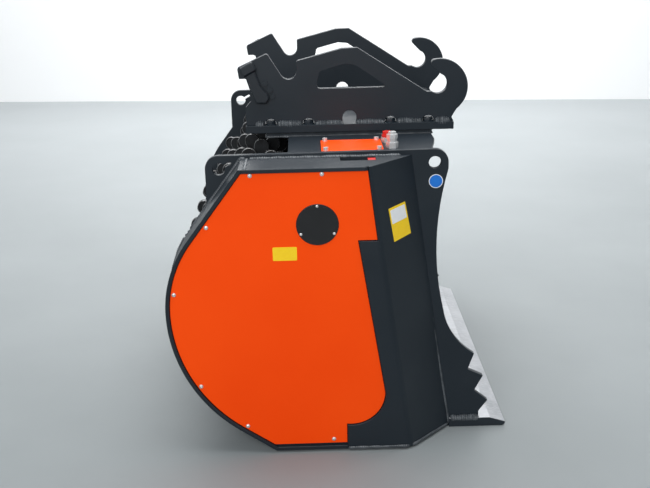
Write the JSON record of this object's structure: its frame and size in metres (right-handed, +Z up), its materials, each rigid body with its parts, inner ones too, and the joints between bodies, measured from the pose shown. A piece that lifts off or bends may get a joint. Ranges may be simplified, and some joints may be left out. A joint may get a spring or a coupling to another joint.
{
  "type": "screening bucket",
  "caption": "Excavator screening bucket: welded shell whose back wall is a row of chain-driven star-disc rotors, with a quick-coupler hitch on top.",
  "frame": {"origin": "middle of the bounding box at the ground, under the flat bottom of the shell", "axes": "+X towards the mouth and cutting edge, +Y from the drive side to the free side, +Z up"},
  "size_m": [1.11, 1.48, 1.253],
  "materials": {
    "black_steel": "anthracite powder coat, satin",
    "orange_paint": "orange paint, smooth satin",
    "edge_steel": "black paint, worn at the edge",
    "rotor_steel": "cast and turned steel, dull",
    "drive_steel": "oiled steel",
    "bright_steel": "zinc plated steel",
    "dark_iron": "cast housings, dull",
    "badge_black": "black, glossy",
    "red_plastic": "red, matt"
  },
  "bodies": {
    "bucket": {"side_plate_drive": "black_steel", "side_plate_free": "black_steel", "floor_shell": "black_steel", "rear_bar": "black_steel", "cutting_edge": "edge_steel", "top_deck": "black_steel", "beam_channel": "black_steel", "mounting_plate": "black_steel", "hitch_base": "black_steel", "hitch_plate_drive": "black_steel", "hitch_plate_free": "black_steel", "wedge_block_drive": "black_steel", "wedge_block_free": "black_steel", "wedge_block_bolts": "black_steel", "hitch_bolts": "black_steel", "case_wall": "black_steel", "case_top": "black_steel", "case_bottom": "black_steel", "case_front": "black_steel", "cover_frame": "black_steel", "side_cover": "orange_paint", "cover_screws": "bright_steel", "badge_plate": "badge_black", "badge_screws": "bright_steel", "slot_tongue": "red_plastic", "motor_cover": "orange_paint", "motor_cover_screws": "bright_steel", "hydraulic_motor": "dark_iron", "motor_bolts": "bright_steel", "hydraulic_lines": "drive_steel", "port_adapters": "bright_steel", "red_cap": "red_plastic", "bearings_drive": "dark_iron", "bearings_free": "dark_iron", "bearing_bolts_drive": "bright_steel", "bearing_bolts_free": "bright_steel", "guard_wall": "black_steel", "guard_cover": "black_steel", "guard_screws": "bright_steel", "chain_motor": "drive_steel", "chain_12": "drive_steel", "chain_23": "drive_steel", "chain_34": "drive_steel", "chain_45": "drive_steel"},
    "rotor_1": {"rotor_1": "rotor_steel", "sprockets_1": "drive_steel"},
    "rotor_2": {"rotor_2": "rotor_steel", "sprockets_2": "drive_steel"},
    "rotor_3": {"rotor_3": "rotor_steel", "sprockets_3": "drive_steel"},
    "rotor_4": {"rotor_4": "rotor_steel", "sprockets_4": "drive_steel"},
    "rotor_5": {"rotor_5": "rotor_steel", "sprockets_5": "drive_steel"},
    "motor_rotor": {"motor_shaft": "bright_steel", "motor_sprocket": "drive_steel"}
  },
  "joints": [
    {"name": "rotor_1_turn", "type": "hinge", "parent": "bucket", "child": "rotor_1", "pos_m": [-0.26692, 0.045, 0.833], "axis": [0, 1, 0], "continuous": true},
    {"name": "rotor_2_turn", "type": "hinge", "parent": "bucket", "child": "rotor_2", "pos_m": [-0.35863, 0.045, 0.71129], "axis": [0, 1, 0], "continuous": true},
    {"name": "rotor_3_turn", "type": "hinge", "parent": "bucket", "child": "rotor_3", "pos_m": [-0.43574, 0.045, 0.57983], "axis": [0, 1, 0], "continuous": true},
    {"name": "rotor_4_turn", "type": "hinge", "parent": "bucket", "child": "rotor_4", "pos_m": [-0.44182, 0.045, 0.42756], "axis": [0, 1, 0], "continuous": true},
    {"name": "rotor_5_turn", "type": "hinge", "parent": "bucket", "child": "rotor_5", "pos_m": [-0.38631, 0.045, 0.28562], "axis": [0, 1, 0], "continuous": true},
    {"name": "motor_turn", "type": "hinge", "parent": "bucket", "child": "motor_rotor", "pos_m": [0.03672, -0.6, 0.85957], "axis": [0, 1, 0], "continuous": true}
  ],
  "couplings": [
    {"joint": "rotor_2_turn", "follows": "rotor_1_turn", "ratio": 1},
    {"joint": "rotor_3_turn", "follows": "rotor_1_turn", "ratio": 1},
    {"joint": "rotor_4_turn", "follows": "rotor_1_turn", "ratio": 1},
    {"joint": "rotor_5_turn", "follows": "rotor_1_turn", "ratio": 1},
    {"joint": "motor_turn", "follows": "rotor_1_turn", "ratio": 1}
  ]
}
